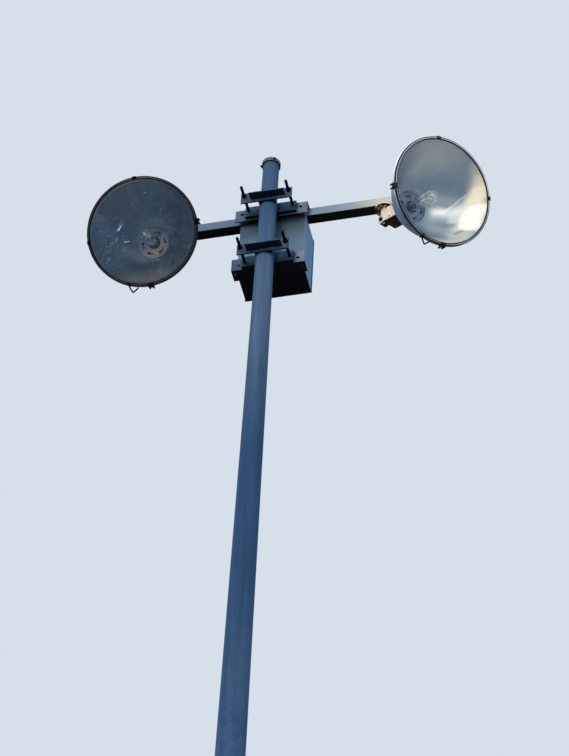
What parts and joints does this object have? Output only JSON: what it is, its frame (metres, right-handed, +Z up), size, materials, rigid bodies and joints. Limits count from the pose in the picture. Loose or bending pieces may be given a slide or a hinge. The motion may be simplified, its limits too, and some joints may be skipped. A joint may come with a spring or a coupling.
{
  "type": "two-lamp floodlight pole",
  "caption": "Tall tapered steel pole with a base plate, a clamped cross arm, a gear box and round glass-fronted floodlights that swivel and tilt.",
  "frame": {"origin": "centre of the base plate's underside, on the shaft's axis", "axes": "+Z up the pole, +X along the cross arm towards the right lamp as seen from the front, -Y to the front, where the lamps look"},
  "size_m": [2.1236, 0.7977, 12.185],
  "materials": {
    "pole_zinc": "matt weathered galvanised steel",
    "cap_zinc": "weathered galvanised casting",
    "bracket_zinc": "galvanised steel, dull and streaked",
    "arm_zinc": "galvanised square tube, dull",
    "box_paint": "pale grey paint, chalked and stained",
    "bolt_steel": "dark weathered steel, a little rust",
    "end_cap_black": "black plastic",
    "cast_aluminium": "cast, rough and stained",
    "spun_aluminium": "spun, satin, with fine rings",
    "neck_aluminium": "spun, satin",
    "porcelain": "glazed porcelain, stained",
    "gasket_rubber": "black rubber",
    "bulb_glass": "clear glass",
    "lens_glass": "clear tempered glass, dusty and scratched",
    "ring_aluminium": "formed ring, weathered",
    "rusty_steel": "rusted steel",
    "wire_steel": "dark wire"
  },
  "bodies": {
    "mast": {"base_plate": "pole_zinc", "pole_shaft": "pole_zinc", "hand_hole_frame": "pole_zinc", "hand_hole_cover": "bracket_zinc", "pole_cap": "cap_zinc", "cap_screws": "bolt_steel", "upper_rear_angle": "bracket_zinc", "lower_rear_angle": "bracket_zinc", "upper_rear_jaw": "bracket_zinc", "lower_rear_jaw": "bracket_zinc", "upper_front_clamp": "bracket_zinc", "lower_front_clamp": "bracket_zinc", "upper_clamp_rods": "bolt_steel", "lower_clamp_rods": "bolt_steel", "upper_clamp_nuts": "bolt_steel", "lower_clamp_nuts": "bolt_steel", "cross_arm": "arm_zinc", "arm_end_caps": "end_cap_black", "gear_box": "box_paint", "gear_box_cover": "box_paint"},
    "left_yoke": {"left_swivel": "cast_aluminium", "left_tilt_bolt": "bolt_steel"},
    "left_lamp": {"left_housing": "cast_aluminium", "left_reflector": "spun_aluminium", "left_neck_plate": "neck_aluminium", "left_lampholder": "porcelain", "left_bulb": "bulb_glass", "left_lens": "lens_glass", "left_gasket": "gasket_rubber", "left_lens_ring": "ring_aluminium", "left_clips": "rusty_steel", "left_bail": "wire_steel"},
    "right_yoke": {"right_swivel": "cast_aluminium", "right_tilt_bolt": "bolt_steel"},
    "right_lamp": {"right_housing": "cast_aluminium", "right_reflector": "spun_aluminium", "right_neck_plate": "neck_aluminium", "right_lampholder": "porcelain", "right_bulb": "bulb_glass", "right_lens": "lens_glass", "right_gasket": "gasket_rubber", "right_lens_ring": "ring_aluminium", "right_clips": "rusty_steel", "right_bail": "wire_steel"}
  },
  "joints": [
    {"name": "left_pan", "type": "hinge", "parent": "mast", "child": "left_yoke", "pos_m": [-0.619, 0.14125, 11.7221], "axis": [0, 0, 1], "range_deg": [-60, 15]},
    {"name": "left_tilt", "type": "hinge", "parent": "left_yoke", "child": "left_lamp", "pos_m": [-0.619, 0.14125, 11.7221], "axis": [0.9986, 0.0523, 0], "range_deg": [-35, 35]},
    {"name": "right_pan", "type": "hinge", "parent": "mast", "child": "right_yoke", "pos_m": [0.619, 0.14125, 11.7221], "axis": [0, 0, 1], "range_deg": [-65, 30]},
    {"name": "right_tilt", "type": "hinge", "parent": "right_yoke", "child": "right_lamp", "pos_m": [0.619, 0.14125, 11.7221], "axis": [0.6691, 0.7431, 0], "range_deg": [-25, 45]}
  ]
}
